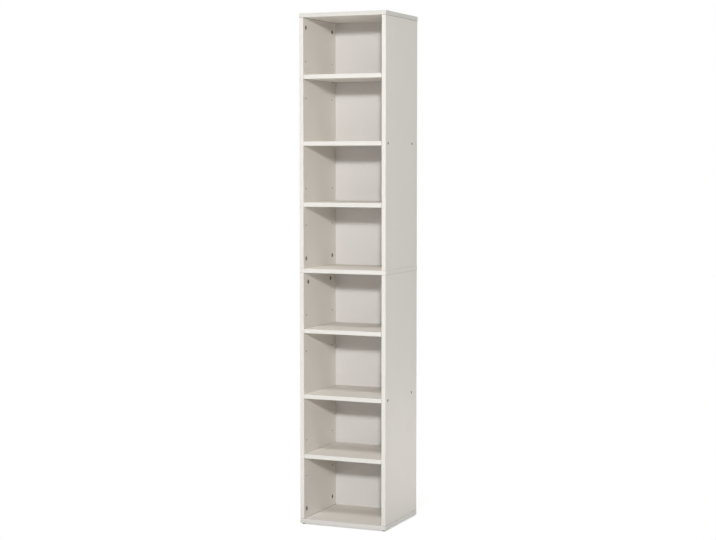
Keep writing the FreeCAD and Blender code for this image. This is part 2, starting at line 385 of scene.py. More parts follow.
def coated_board(name, faces, banded, raw, band=BAND, shaded_joints=()):
    """The finish of one board, from the names of its coated faces, banded edges and raw edges.

    Shaded joints are raw edges where a dark line is painted along the sawn corner, partly the raw
    corner and partly painted shade, with the width of the line.
    """
    material, flow, shader = new_finish(f"{name}_finish")
    place = object_place(flow)
    edges = board_edges(flow, place, name)
    bare = bare_chipboard(flow, edges, faces, raw)
    to_band = nearest([edges[side] for side in banded])
    past_band = past(to_band, BAND_THICKNESS)
    coat = coat_colour(flow, place, edges, to_band, band, shaded_joints)
    chips, chip_height = chipboard_colour(flow, place)
    depth = nearest(list(edges.values()))
    # How much painted shade darkens the chipboard, growing with the depth in the board.
    bore_shade = depth.rise(PAINTED_BORE_SHADE_START, PAINTED_BORE_SHADE_END) * PAINTED_BORE_SHADE_SHARE
    pearl = noise(flow, place, PEARL_SIZE, 1.0)
    swell = noise(flow, place, SWELL_SIZE, 2.0)
    skin = past_band * (pearl * PEARL_HEIGHT + swell * SWELL_HEIGHT)
    sheen = BAND_ROUGHNESS + past_band * (FACE_ROUGHER + pearl * PEARL_ROUGHER)
    set_surface(
        shader,
        Base_Color=bare.blend(coat, bore_shade.blend(chips, PAINTED_BORE_SHADE)),
        Roughness=sheen + bare * (CHIP_ROUGHNESS - sheen),
        Normal=bump(flow, skin * (1 - bare) + bare * chip_height * CHIP_HEIGHT, 1 * MM),
    )
    nodes[name].material_slots[0].material = material


print("lumps of the pearl:", round(PEARL_SIZE / MM, 2), "mm")

# %% [markdown]
# ## Boards by name
# Which edges have a band depends on the board. The three panels show all their edges. The sides
# stand between panels, so their ends are raw. The fixed shelves are screwed between the sides and
# show only the front, and the loose ones also show their ends when they are drawn out. The band of
# the top panel is painted a little greyer than the others, a painted shade on the same band. One
# finish copied to all boards would put bands on sawn ends, so each board gets its own, from one
# function that is told the names of its edges.

# %% Every board gets its finish
PANELS = ["top_panel", "middle_panel", "bottom_panel"]
SIDES = [f"{unit}_{side}_side" for unit in ("lower", "upper") for side in ("left", "right")]
FIXED_SHELVES = ["lower_fixed_shelf", "upper_fixed_shelf"]
LOOSE_SHELVES = [f"{unit}_{half}_shelf" for unit in ("lower", "upper") for half in ("low", "high")]
# Painted shade: the top panel's band is the same band, painted greyer.
SHADED_TOP_BAND = (0.672, 0.658, 0.612, 1)
# Widths of the painted shade lines along the sawn ends of the sides.
WIDE_JOINT_SHADE = 0.9 * MM
THIN_JOINT_SHADE = 0.5 * MM
SIDE_JOINT_SHADES = {
    "lower": {"lower": WIDE_JOINT_SHADE, "upper": THIN_JOINT_SHADE},
    "upper": {"upper": WIDE_JOINT_SHADE},
}

for name in PANELS:
    band = SHADED_TOP_BAND if name == "top_panel" else BAND
    coated_board(name, ["lower", "upper"], ["front", "rear", "left", "right"], [], band)
for name in SIDES:
    joint_shades = SIDE_JOINT_SHADES[name.split("_")[0]]
    coated_board(name, ["left", "right"], ["front", "rear"], ["lower", "upper"], shaded_joints=joint_shades)
for name in FIXED_SHELVES:
    coated_board(name, ["lower", "upper"], ["front"], ["left", "right", "rear"])
for name in LOOSE_SHELVES:
    coated_board(name, ["lower", "upper"], ["front", "left", "right"], ["rear"])
print("coated boards:", len(PANELS + SIDES + FIXED_SHELVES + LOOSE_SHELVES))

# %% [markdown]
# ## The back panels
# The back is thin fibreboard with white paper on the face that shows and bare brown fibre behind.
# Two materials would need a split mesh. One finish covers both sides instead: it asks how deep a
# point lies behind the front of the panel. The fibres are two noises, one stretched along and one
# across, because pressed fibres lie in all directions.

# %% The back panel finish
BACK_PAPER = (0.735, 0.711, 0.690, 1)
PAPER_THICKNESS = 0.3 * MM
PAPER_RELIEF = 0.03
PAPER_ROUGHNESS = 0.5
FIBRE_STOPS = [
    (0.25, (0.23, 0.135, 0.065, 1)),
    (0.5, (0.33, 0.205, 0.105, 1)),
    (0.75, (0.43, 0.285, 0.155, 1)),
]
FIBRE_LENGTH = 9 * MM
FIBRE_WIDTH = 0.8 * MM
FIBRE_RELIEF = 0.12
FIBRE_ROUGHNESS = 0.85
FIBRE_CLOUD = 25 * MM
FIBRE_CLOUD_SHARE = 0.2
BACKS = ["lower_back_panel", "upper_back_panel"]


def back_panel_finish(name):
    """White paper in front and pressed brown fibres behind."""
    material, flow, shader = new_finish(f"{name}_finish")
    place = object_place(flow)
    behind = past(board_edges(flow, place, name)["front"], PAPER_THICKNESS)
    lying = stretched(flow, place, (FIBRE_WIDTH / FIBRE_LENGTH, 1, 1))
    standing = stretched(flow, place, (1, 1, FIBRE_WIDTH / FIBRE_LENGTH))
    fibres = noise(flow, lying, FIBRE_WIDTH, 3.0) * 0.5 + noise(flow, standing, FIBRE_WIDTH, 3.0) * 0.5
    cloud = noise(flow, place, FIBRE_CLOUD, 3.0)
    shade = fibres * (1 - FIBRE_CLOUD_SHARE) + cloud * FIBRE_CLOUD_SHARE
    brown = flow.add("ShaderNodeValToRGB", {"stops": FIBRE_STOPS}, {"Fac": shade})
    pearl = noise(flow, place, PEARL_SIZE, 1.0)
    relief = behind * fibres * FIBRE_RELIEF + (1 - behind) * pearl * PAPER_RELIEF
    set_surface(
        shader,
        Base_Color=behind.blend(BACK_PAPER, brown),
        Roughness=PAPER_ROUGHNESS + behind * (FIBRE_ROUGHNESS - PAPER_ROUGHNESS),
        Normal=bump(flow, relief, 1 * MM),
    )
    nodes[name].material_slots[0].material = material


for name in BACKS:
    back_panel_finish(name)
print("back panels:", len(BACKS))

# %% [markdown]
# ## Metals
# The cam locks are dull zinc castings, the screws, bolts and nails are dark zinc-plated steel,
# painted darker still as painted shade on the screw heads, and the shelf pins are satin nickel. A
# metal has hardly any colour of its own and lives from what it mirrors. Scratches could be drawn,
# but these fittings are new. So one recipe gives each metal two close tones, a roughness that
# changes from spot to spot and a slightly pitted skin.

# %% Metal finishes
GRAINS_PER_CLOUD = 8
SHEEN_CHANGE = 0.16


def metal_finish(name, dark, light, roughness, grain, pitting):
    """A metal between two tones, with fine changes of sheen and a slightly pitted skin."""
    material, flow, shader = new_finish(name)
    place = object_place(flow)
    cloud = noise(flow, place, GRAINS_PER_CLOUD * grain, 3.0).rise(0.3, 0.7)
    skin = noise(flow, place, grain, 3.0)
    set_surface(
        shader,
        Base_Color=cloud.blend(dark, light),
        Metallic=1.0,
        Roughness=roughness + skin * SHEEN_CHANGE,
        Normal=bump(flow, skin, pitting),
    )
    return material


cast_zinc = metal_finish(
    "cast_zinc",
    dark=(0.20, 0.195, 0.185, 1),
    light=(0.29, 0.28, 0.265, 1),
    roughness=0.36,
    grain=0.25 * MM,
    pitting=0.02 * MM,
)
# Dark zinc plating, painted darker still: partly painted shade on the screw heads.
shaded_zinc_plate = metal_finish(
    "shaded_zinc_plate",
    dark=(0.13, 0.13, 0.126, 1),
    light=(0.20, 0.198, 0.19, 1),
    roughness=0.26,
    grain=0.2 * MM,
    pitting=0.008 * MM,
)
satin_nickel = metal_finish(
    "satin_nickel",
    dark=(0.56, 0.54, 0.50, 1),
    light=(0.64, 0.62, 0.58, 1),
    roughness=0.24,
    grain=0.2 * MM,
    pitting=0.006 * MM,
)
print("metals:", [metal.name for metal in (cast_zinc, shaded_zinc_plate, satin_nickel)])

# %% [markdown]
# ## Plastic and beech
# The glides are moulded grey plastic with a fine grain from the mould. The dowels are turned beech,
# with the grain along their length and the short dark flecks that tell beech from other pale woods.
# Both could share one noise, but wood is drawn out along its grain and plastic is not.

# %% The plastic finish
MOULD_GRAIN = 0.3 * MM
MOULD_CLOUD = 4 * MM
MOULD_RELIEF = 0.03 * MM
PLASTIC_ROUGHNESS = 0.45
MATT_CHANGE = 0.15


def plastic_finish(name, dark, light):
    """Moulded plastic between two tones."""
    material, flow, shader = new_finish(name)
    place = object_place(flow)
    skin = noise(flow, place, MOULD_GRAIN)
    set_surface(
        shader,
        Base_Color=noise(flow, place, MOULD_CLOUD).blend(dark, light),
        Roughness=PLASTIC_ROUGHNESS + skin * MATT_CHANGE,
        Normal=bump(flow, skin, MOULD_RELIEF),
    )
    return material


grey_plastic = plastic_finish(
    "grey_plastic",
    dark=(0.26, 0.26, 0.254, 1),
    light=(0.31, 0.308, 0.30, 1),
)
print("plastic:", grey_plastic.name)

# %% The beech finish
PALE_BEECH = (0.66, 0.46, 0.27, 1)
DARK_BEECH = (0.50, 0.31, 0.16, 1)
BEECH_FLECK = (0.30, 0.16, 0.08, 1)
BEECH_GRAIN = 0.7 * MM
BEECH_RELIEF = 0.06 * MM
BEECH_ROUGHNESS = 0.65
GRAIN_STRETCH = (1, 1, 0.06)
FLECK_SIZE = 0.35 * MM
FLECK_STRETCH = (1, 1, 0.25)
FLECK_SHARE = 0.5


def beech_finish(name):
    """Beech with its grain along the dowel and short dark flecks."""
    material, flow, shader = new_finish(name)
    place = object_place(flow)
    grain = noise(flow, stretched(flow, place, GRAIN_STRETCH), BEECH_GRAIN, 4.0)
    flecks = noise(flow, stretched(flow, place, FLECK_STRETCH), FLECK_SIZE, 1.0).rise(0.62, 0.7)
    wood = grain.rise(0.3, 0.7).blend(DARK_BEECH, PALE_BEECH)
    set_surface(
        shader,
        Base_Color=(flecks * FLECK_SHARE).blend(wood, BEECH_FLECK),
        Roughness=BEECH_ROUGHNESS + grain * MATT_CHANGE,
        Normal=bump(flow, grain, BEECH_RELIEF),
    )
    return material


beech = beech_finish("beech")
print("wood:", beech.name)

# %% [markdown]
# ## Fittings that stay solids
# Bolts, dowels and nails sit inside the boards and show only when the bookcase is taken apart. They
# could be made again in finer detail, but the solids already have their heads, necks and threads.
# So they keep their meshes and only get a finish.

# %% Bolts, dowels and nails
JOINTS = ["top", "upper_base", "lower_head", "bottom"]
for joint in JOINTS:
    nodes[f"{joint}_cam_bolts"].material_slots[0].material = shaded_zinc_plate
    nodes[f"{joint}_dowels"].material_slots[0].material = beech
nodes["glide_nails"].material_slots[0].material = shaded_zinc_plate
print("rows of joints with bolts and dowels:", len(JOINTS))

# %% [markdown]
# ## Turning a fitting with nodes
# Cams, screws, pins and glides are round, and each is needed many times. A lathe is the natural
# way to think of them: draw half of the outline and spin it about the axis. A tree does this with
# a poly line whose corners are rounded by Fillet Curve and swept round a circle by Curve to Mesh.
# The circle is wide and the line is drawn back by its radius, so that the sweep also closes a
# fitting on its own axis. The sizes stay named inputs of the tree.

# %% A lathe made of nodes
TURN_SEGMENTS = 48
ROUNDING_STEPS = 3
RING = 40 * MM
WELD = 0.002 * MM


def new_fitting_tree(name, sizes):
    """A tree with an input for the places and one for each size."""
    tree = bpy.data.node_groups.new(name, "GeometryNodeTree")
    tree.interface.new_socket("Places", in_out="INPUT", socket_type="NodeSocketGeometry")
    for label in sizes:
        tree.interface.new_socket(label, in_out="INPUT", socket_type="NodeSocketFloat")
    tree.interface.new_socket("Fittings", in_out="OUTPUT", socket_type="NodeSocketGeometry")
    entry = tree.nodes.new("NodeGroupInput")
    return tree, {socket.name: Flow(tree, socket) for socket in entry.outputs if socket.name}


def turned(flow, outline, closed=False):
    """Spins corners of (radius, height, rounding) about the Z axis."""
    corners = {"Index": flow.add("GeometryNodeInputIndex")}
    roundings = dict(corners)
    for number, (radius, height, rounding) in enumerate(outline):
        sockets = {"X": radius - RING, "Y": 0 - height}
        corners[str(number)] = flow.add("ShaderNodeCombineXYZ", (), sockets)
        roundings[str(number)] = rounding
    count = len(outline)
    corner = flow.add("GeometryNodeIndexSwitch", {"data_type": "VECTOR", "choices": count}, corners)
    rounding = flow.add("GeometryNodeIndexSwitch", {"data_type": "FLOAT", "choices": count}, roundings)
    line = flow.add("GeometryNodeMeshLine", (), {"Count": count})
    line = flow.add("GeometryNodeSetPosition", (), {"Geometry": line, "Position": corner})
    line = flow.add("GeometryNodeMeshToCurve", (), {"Mesh": line})
    line = flow.add("GeometryNodeSetSplineCyclic", (), {"Geometry": line, "Cyclic": closed})
    sockets = {"Curve": line, "Count": ROUNDING_STEPS, "Radius": rounding, "Limit Radius": True}
    line = flow.add("GeometryNodeFilletCurve", {"mode": "POLY"}, sockets)
    sockets = {"Resolution": TURN_SEGMENTS, "Radius": RING}
    ring = flow.add("GeometryNodeCurvePrimitiveCircle", (), sockets)
    skin = flow.add("GeometryNodeCurveToMesh", (), {"Curve": ring, "Profile Curve": line})
    skin = flow.add("GeometryNodeFlipFaces", (), {"Mesh": skin})
    return flow.add("GeometryNodeMergeByDistance", (), {"Geometry": skin, "Distance": WELD})


print("lathe ready, segments per turn:", TURN_SEGMENTS)

# %% [markdown]
# ## Cutting a turned fitting
# A cross, a hexagon or a flat can't be turned. On real fittings they are stamped or milled after the
# turning. They could be drawn into the mesh by hand, but then their sizes would be fixed. Here a
# block or a prism is placed and subtracted, once, before the fitting is copied to its places.


# %% Cutters
def moved(flow, shape, place=(0, 0, 0), turn=(0, 0, 0)):
    """A shape moved and turned. A place is three numbers or flows."""
    vector = flow.add("ShaderNodeCombineXYZ", (), dict(zip("XYZ", place)))
    sockets = {"Geometry": shape, "Translation": vector, "Rotation": turn}
    return flow.add("GeometryNodeTransform", (), sockets)


def cuboid(flow, length, width, height):
    """A block about the origin."""
    size = flow.add("ShaderNodeCombineXYZ", (), {"X": length, "Y": width, "Z": height})
    return flow.add("GeometryNodeMeshCube", (), {"Size": size})


def prism(flow, sides, radius, height):
    """A prism about the Z axis."""
    sockets = {"Vertices": sides, "Radius": radius, "Depth": height}
    return flow.add("GeometryNodeMeshCylinder", (), sockets)


def cut(flow, shape, cutters):
    """A shape less its cutters. The weld takes away slivers that the cut leaves."""
    settings = {"operation": "DIFFERENCE", "solver": "EXACT"}
    rest = flow.add("GeometryNodeMeshBoolean", settings, {"Mesh 1": shape, "Mesh 2": cutters})
    return flow.add("GeometryNodeMergeByDistance", (), {"Geometry": rest, "Distance": WELD})


print("points closer than", round(WELD / MM, 4), "mm are welded")

# %% [markdown]
# ## Setting fittings in their places
# Each place is a point that knows two directions: where the fitting faces, and which way its
# upper side or its bolt lies. Axes to Rotation turns these into a rotation. A small random spin
# with a fixed seed keeps the heads from standing like soldiers. The tree ends with real copies and
# a material, because an export keeps no instances.

# %% The end of a fitting tree
SPIN_SEED = 7


def set_fittings(tree, inputs, fitting, spin, material):
    """Ends a tree: copies of the fitting at the places, as real geometry with its material."""
    flow = inputs["Places"]
    settings = {"data_type": "FLOAT_VECTOR"}
    facing = flow.add("GeometryNodeInputNamedAttribute", settings, {"Name": "facing"})
    towards = flow.add("GeometryNodeInputNamedAttribute", settings, {"Name": "towards"})
    settings = {"primary_axis": "Z", "secondary_axis": "X"}
    sockets = {"Primary Axis": facing, "Secondary Axis": towards}
    turn = flow.add("FunctionNodeAxesToRotation", settings, sockets)
    # A Random Value node has limits for each type of data: 2 and 3 belong to plain numbers.
    sockets = {2: -spin, 3: spin, "Seed": SPIN_SEED}
    angle = flow.add("FunctionNodeRandomValue", {"data_type": "FLOAT"}, sockets, 1)
    extra = flow.add("FunctionNodeAxisAngleToRotation", (), {"Axis": (0, 0, 1), "Angle": angle})
    sockets = {"Rotation": turn, "Rotate By": extra}
    turn = flow.add("FunctionNodeRotateRotation", {"rotation_space": "LOCAL"}, sockets)
    sockets = {"Points": flow, "Instance": fitting, "Rotation": turn}
    copies = flow.add("GeometryNodeInstanceOnPoints", (), sockets)
    copies = flow.add("GeometryNodeRealizeInstances", (), {"Geometry": copies})
    copies = flow.add("GeometryNodeSetMaterial", (), {"Geometry": copies, "Material": material})
    flow.add("NodeGroupOutput", (), {"Fittings": copies})
    print(tree.name, "nodes:", len(tree.nodes))


print("seed of the spin:", SPIN_SEED)

# %% [markdown]
# ## From places to one mesh
# The places are the points of a small mesh, and a modifier runs the tree on them. A modifier could
# stay live, but a plain mesh is what other programs read. So the result is kept as a mesh, the
# modifier goes, and the piece rides on the carcass in place of the solids it stands for.

# %% One mesh for each kind of fitting
SHARP_ANGLE = math.radians(32)


def make_fittings(name, tree, sizes, places, replaced):
    """Runs a tree on its places and keeps the result as one plain mesh on the carcass."""
    mesh = bpy.data.meshes.new(name)
    mesh.from_pydata([place for place, facing, towards in places], [], [])
    for label, number in (("facing", 1), ("towards", 2)):
        attribute = mesh.attributes.new(label, "FLOAT_VECTOR", "POINT")
        for item, place in zip(attribute.data, places):
            item.vector = place[number]
    piece = bpy.data.objects.new(name, mesh)
    bpy.context.scene.collection.objects.link(piece)
    modifier = piece.modifiers.new("fittings", "NODES")
    modifier.node_group = tree
    for socket in tree.interface.items_tree:
        if socket.name in sizes:
            modifier[socket.identifier] = sizes[socket.name]
    graph = bpy.context.evaluated_depsgraph_get()
    finished = bpy.data.meshes.new_from_object(piece.evaluated_get(graph))
    piece.modifiers.remove(modifier)
    piece.data = finished
    finished.polygons.foreach_set("use_smooth", [True] * len(finished.polygons))
    finished.set_sharp_from_angle(angle=SHARP_ANGLE)
    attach(piece, "carcass")
    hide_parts(*replaced)
    print(name, "places:", len(places), "faces:", len(finished.polygons))


print("edges above", round(math.degrees(SHARP_ANGLE)), "degrees stay sharp")

# %% [markdown]
# ## Cam locks
# A cam lock is a zinc disc in a blind hole of a side. A turn with a cross-head screwdriver pulls
# the bolt in from the end of the board. Its face has a raised rim, a boss with the cross and a
# small arrow that shows where the bolt comes in. It could be one modelled mesh copied by hand. As
# a tree, the sixteen locks share one recipe, and a changed size reaches all of them.

# %% The turned disc of a cam lock
cam_sizes = {
    "Radius": 7.5 * MM,
    "Height": 12.3 * MM,
    "Rim width": 0.9 * MM,
    "Dish depth": 0.6 * MM,
    "Boss radius": 4.5 * MM,
    "Cross length": 7.0 * MM,
    "Cross width": 1.5 * MM,
    "Cross depth": 2.0 * MM,
    "Bolt depth": 7.3 * MM,
    "Neck radius": 2.4 * MM,
    "Head radius": 3.7 * MM,
    "Head reach": 2.65 * MM,
}
RIM_SLOPE = 0.4 * MM
BOSS_SLOPE = 0.3 * MM
BOSS_DROP = 0.05 * MM

cam_tree, cam = new_fitting_tree("cam_lock", cam_sizes)
flow = cam["Places"]
dish = 0 - cam["Dish depth"]
rim_inner = cam["Radius"] - cam["Rim width"]
foot = 0 - cam["Height"]
disc = turned(flow, [
    (0.0, foot, 0.0),
    (cam["Radius"], foot, 0.3 * MM),
    (cam["Radius"], 0.0, 0.25 * MM),
    (rim_inner, 0.0, 0.2 * MM),
    (rim_inner - RIM_SLOPE, dish, 0.15 * MM),
    (cam["Boss radius"] + BOSS_SLOPE, dish, 0.15 * MM),
    (cam["Boss radius"], -BOSS_DROP, 0.2 * MM),
    (0.0, -BOSS_DROP, 0.0),
])
print("sizes of a cam lock:", len(cam_sizes))

# %% Its cross, the way of its bolt and its arrow
BOLT_WAY_SIDES = 24
ALONG_X = (0, math.pi / 2, 0)
ARROW_RADIUS = 0.75 * MM
ARROW_INSET = 1.15 * MM
ARROW_SINK = 0.75
POINTING_OUT = (0, 0, -math.pi / 2)
CAM_SPIN = math.radians(3)

lying_cross = cuboid(flow, cam["Cross length"], cam["Cross width"], cam["Cross depth"] * 2)
standing_cross = cuboid(flow, cam["Cross width"], cam["Cross length"], cam["Cross depth"] * 2)
bolt_level = 0 - cam["Bolt depth"]
neck_way = prism(flow, BOLT_WAY_SIDES, cam["Neck radius"], cam["Radius"] * 2)
neck_way = moved(flow, neck_way, (cam["Radius"], 0.0, bolt_level), ALONG_X)
head_way = prism(flow, BOLT_WAY_SIDES, cam["Head radius"], cam["Radius"] * 2)
head_way = moved(flow, head_way, (cam["Head reach"] - cam["Radius"], 0.0, bolt_level), ALONG_X)
disc = cut(flow, disc, [lying_cross, standing_cross, neck_way, head_way])
arrow = prism(flow, 3, ARROW_RADIUS, cam["Dish depth"])
arrow = moved(flow, arrow, (rim_inner - ARROW_INSET, 0.0, dish * ARROW_SINK), POINTING_OUT)
disc = flow.add("GeometryNodeJoinGeometry", (), {"Geometry": [disc, arrow]})
set_fittings(cam_tree, cam, disc, CAM_SPIN, cast_zinc)

# %% [markdown]
# ## Every cam lock in its hole
# Each lock lies in its hole, sunk a hair below the inner face of the side. The places could be typed
# in, but they would be wrong as soon as a board changes. So they are read from the box of the
# solids: the locks of a row lie a radius in from its ends. The arrow of each lock points to the
# panel that its bolt comes from, up at the head of a unit and down at its base.

# %% Places of the cam locks
CAM_SINK = 0.2 * MM
UP = (0, 0, 1)
DOWN = (0, 0, -1)


def carcass_faces(unit):
    """Inner faces of a unit's two sides, as (x, direction into the compartment)."""
    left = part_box(f"{unit}_left_side")[1].x
    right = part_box(f"{unit}_right_side")[0].x
    return ((left, 1), (right, -1))


def cam_places(joint, unit, to_end):
    """The four locks of a row of joints, with the direction of their bolts."""
    low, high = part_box(f"{joint}_cam_locks")
    radius = cam_sizes["Radius"]
    places = []
    for face, inward in carcass_faces(unit):
        for y in (low.y + radius, high.y - radius):
            place = (face - inward * CAM_SINK, y, (low.z + high.z) / 2)
            places.append((place, (inward, 0, 0), to_end))
    return places


places = cam_places("top", "upper", UP) + cam_places("upper_base", "upper", DOWN)
places += cam_places("lower_head", "lower", UP) + cam_places("bottom", "lower", DOWN)
replaced = [f"{joint}_cam_locks" for joint in JOINTS]
make_fittings("cam_locks", cam_tree, cam_sizes, places, replaced)

# %% [markdown]
# ## Shelf screws
# Long screws with countersunk heads hold the two fixed shelves. Only the heads show, flush with
# the outer faces of the sides, each with a hexagon for the key. The thread sits in the end of the
# shelf. A true helix would cost many faces that nobody sees, so the thread is a row of ridges in
# the outline, which a loop writes, ridge by ridge.

# %% The screw tree
screw_sizes = {
    "Head radius": 4.7 * MM,
    "Shank radius": 3.15 * MM,
    "Core radius": 2.35 * MM,
    "Lip": 1.0 * MM,
    "Shank length": 15.0 * MM,
    "Length": 50.0 * MM,
    "Tip length": 3.0 * MM,
    "Socket radius": 4.0 * MM / math.sqrt(3),
    "Socket depth": 2.5 * MM,
}
THREAD_TURNS = 13
THREAD_RUN_OUT = 0.3 * MM
SOCKET_BEVEL_OUT = 0.35 * MM
SOCKET_BEVEL_IN = 0.2 * MM
SOCKET_BEVEL_DEPTH = 0.3 * MM

screw_tree, screw = new_fitting_tree("shelf_screw", screw_sizes)
flow = screw["Places"]
thread_end = screw["Length"] - screw["Tip length"]
pitch = (thread_end - screw["Shank length"]) * (1 / THREAD_TURNS)
outline = [(0.0, 0 - screw["Length"], 0.0)]
for turn in range(THREAD_TURNS):
    outline.append((screw["Core radius"], pitch * turn - thread_end, 0.0))
    outline.append((screw["Shank radius"], pitch * (turn + 0.5) - thread_end, 0.0))
cone_end = 0 - screw["Lip"] - (screw["Head radius"] - screw["Shank radius"])
outline += [
    (screw["Core radius"], 0 - screw["Shank length"], 0.0),
    (screw["Shank radius"], 0 - screw["Shank length"] + THREAD_RUN_OUT, 0.0),
    (screw["Shank radius"], cone_end, 0.4 * MM),
    (screw["Head radius"], 0 - screw["Lip"], 0.2 * MM),
    (screw["Head radius"], 0.0, 0.35 * MM),
    (screw["Socket radius"] + SOCKET_BEVEL_OUT, 0.0, 0.05 * MM),
    (screw["Socket radius"] - SOCKET_BEVEL_IN, -SOCKET_BEVEL_DEPTH, 0.05 * MM),
    (0.0, -SOCKET_BEVEL_DEPTH, 0.0),
]
body = turned(flow, outline)
hexagon = prism(flow, 6, screw["Socket radius"], screw["Socket depth"] * 2)
body = cut(flow, body, [hexagon])
set_fittings(screw_tree, screw, body, math.pi, shaded_zinc_plate)

# %% [markdown]
# ## Every shelf screw in its hole
# The heads lie at the two ends of the box of the solids and face outwards, so the box gives their
# places too. A real screw stops where it is tight, so each head may be turned by any angle.


# %% Places of the shelf screws
def screw_places(unit):
    """The four screws of a fixed shelf."""
    low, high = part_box(f"{unit}_shelf_screws")
    radius = screw_sizes["Head radius"]
    places = []
    for x, outward in ((low.x, -1), (high.x, 1)):
        for y in (low.y + radius, high.y - radius):
            places.append(((x, y, (low.z + high.z) / 2), (outward, 0, 0), UP))
    return places


places = screw_places("lower") + screw_places("upper")
replaced = ["lower_shelf_screws", "upper_shelf_screws"]
make_fittings("shelf_screws", screw_tree, screw_sizes, places, replaced)

# %% [markdown]
# ## Shelf pins
# Each loose shelf lies on four nickel pins that are pushed into the holes of the sides. A collar
# stops the pin, the nose is rounded, and a flat on top carries the shelf. The flat makes the pin
# more than a turned piece, so the tree cuts it off with a block after the turning.

# %% The shelf pin tree
pin_sizes = {
    "Radius": 2.4 * MM,
    "Grip": 9.5 * MM,
    "Reach": 8.0 * MM,
    "Collar radius": 3.5 * MM,
    "Collar thickness": 0.7 * MM,
    "Flat height": 2.0 * MM,
}
pin_tree, pin = new_fitting_tree("shelf_pin", pin_sizes)
flow = pin["Places"]
peg = turned(flow, [
    (0.0, 0 - pin["Grip"], 0.0),
    (pin["Radius"], 0 - pin["Grip"], 0.6 * MM),
    (pin["Radius"], 0.0, 0.0),
    (pin["Collar radius"], 0.0, 0.15 * MM),
    (pin["Collar radius"], pin["Collar thickness"], 0.3 * MM),
    (pin["Radius"], pin["Collar thickness"], 0.2 * MM),
    (pin["Radius"], pin["Reach"], 1.2 * MM),
    (0.0, pin["Reach"], 0.0),
])
flat = cuboid(flow, pin["Radius"], pin["Radius"] * 4, pin["Reach"] * 2)
flat_place = (pin["Flat height"] + pin["Radius"] * 0.5, 0.0, pin["Collar thickness"] + pin["Reach"])
peg = cut(flow, peg, [moved(flow, flat, flat_place)])
set_fittings(pin_tree, pin, peg, 0.0, satin_nickel)

# %% [markdown]
# ## Every shelf pin in its hole
# The pins stand in the inner faces of the sides. Their height comes from the shelf: its underside
# lies on the flats. They aren't spun, because the flats must stay on top.


# %% Places of the shelf pins
def pin_places(shelf, unit):
    """The four pins under a loose shelf."""
    low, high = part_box(f"{shelf}_pins")
    radius = pin_sizes["Collar radius"]
    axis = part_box(shelf)[0].z - pin_sizes["Flat height"]
    places = []
    for face, inward in carcass_faces(unit):
        for y in (low.y + radius, high.y - radius):
            places.append(((face, y, axis), (inward, 0, 0), UP))
    return places


places = []
for shelf in LOOSE_SHELVES:
    places += pin_places(shelf, shelf.split("_")[0])
replaced = [f"{shelf}_pins" for shelf in LOOSE_SHELVES]
make_fittings("shelf_pins", pin_tree, pin_sizes, places, replaced)

# %% [markdown]
# ## Glides
# Four small plastic glides keep the bottom board off the floor. Each is a ring with a rounded foot
# and a recess for the head of its nail. The hole could be cut out of a solid disc, but a ring is
# simply an outline that closes on itself, so here the lathe's line is made cyclic.

# %% The glides
glide_sizes = {
    "Radius": 6.5 * MM,
    "Height": 4.0 * MM,
    "Recess radius": 2.6 * MM,
    "Recess depth": 1.4 * MM,
    "Nail hole radius": 1.1 * MM,
}
FOOT_TAPER = 0.3 * MM
GLIDES = [f"{end}_{side}_glide" for end in ("front", "rear") for side in ("left", "right")]

glide_tree, glide = new_fitting_tree("glide", glide_sizes)
flow = glide["Places"]
ring = turned(flow, [
    (glide["Recess radius"], 0.0, 0.3 * MM),
    (glide["Radius"] - FOOT_TAPER, 0.0, 1.0 * MM),
    (glide["Radius"], glide["Height"], 0.3 * MM),
    (glide["Nail hole radius"], glide["Height"], 0.0),
    (glide["Nail hole radius"], glide["Recess depth"], 0.0),
    (glide["Recess radius"], glide["Recess depth"], 0.1 * MM),
], closed=True)
set_fittings(glide_tree, glide, ring, math.pi, grey_plastic)

places = []
for name in GLIDES:
    low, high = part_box(name)
    places.append((((low.x + high.x) / 2, (low.y + high.y) / 2, low.z), UP, (1, 0, 0)))
make_fittings("glides", glide_tree, glide_sizes, places, GLIDES)

# %% [markdown]
# ## Floor
# The bookcase stands in a white studio. The background could be made white with more light, but
# that would burn out the boards. So only what is looked at directly is white, and near the base
# the floor still shows the shadow that the bookcase throws, darkest where the bottom board almost
# touches it. For the light that bounces back at the boards, the floor is painted darker close to
# the base: a painted shade that darkens the foot of the right side.

# %% The shadow round the base
FLOOR_SIZE = 30.0
FLOOR_DROP = 0.2 * MM
SHADOW_SHARE = 0.45
SHADOW_REACH = 0.55
CONTACT_SHARE = 0.35
CONTACT_REACH = 6 * MM

bpy.ops.mesh.primitive_plane_add(size=FLOOR_SIZE, location=(0, 0, -FLOOR_DROP))
floor = bpy.context.object
floor.name = "floor"
floor_finish, flow, shader = new_finish("floor_finish")
floor_tree = floor_finish.node_tree
floor_tree.nodes.remove(shader)
base = (cad_high.x, cad_high.y, 0)
place = flow.add("ShaderNodeVectorMath", {"operation": "ABSOLUTE"}, {0: object_place(flow)})
place = flow.add("ShaderNodeVectorMath", {"operation": "SUBTRACT"}, {0: place, 1: base})
place = flow.add("ShaderNodeVectorMath", {"operation": "MAXIMUM"}, {0: place, 1: (0, 0, 0)})
away = flow.add("ShaderNodeVectorMath", {"operation": "LENGTH"}, {0: place}, "Value")
contact = (1 - away.rise(0.0, CONTACT_REACH)) * CONTACT_SHARE
shadow = (1 - away.rise(0.0, SHADOW_REACH)) * SHADOW_SHARE + contact * (1 - SHADOW_SHARE)
print("floor:", FLOOR_SIZE, "m wide, shadow shown up to", SHADOW_REACH, "m from the base")

# %% The floor finish
WHITE = (1, 1, 1, 1)
FLOOR_PALE = (0.85, 0.85, 0.85, 1)
# Painted shade: close to the base the floor is darker for bounced light, which darkens the foot of the
# boards.
FLOOR_SHADE_NEAR_BASE = (0.38, 0.38, 0.38, 1)
SHADE_NEAR_BASE_REACH = 0.16
FLOOR_LIFT = 0.46


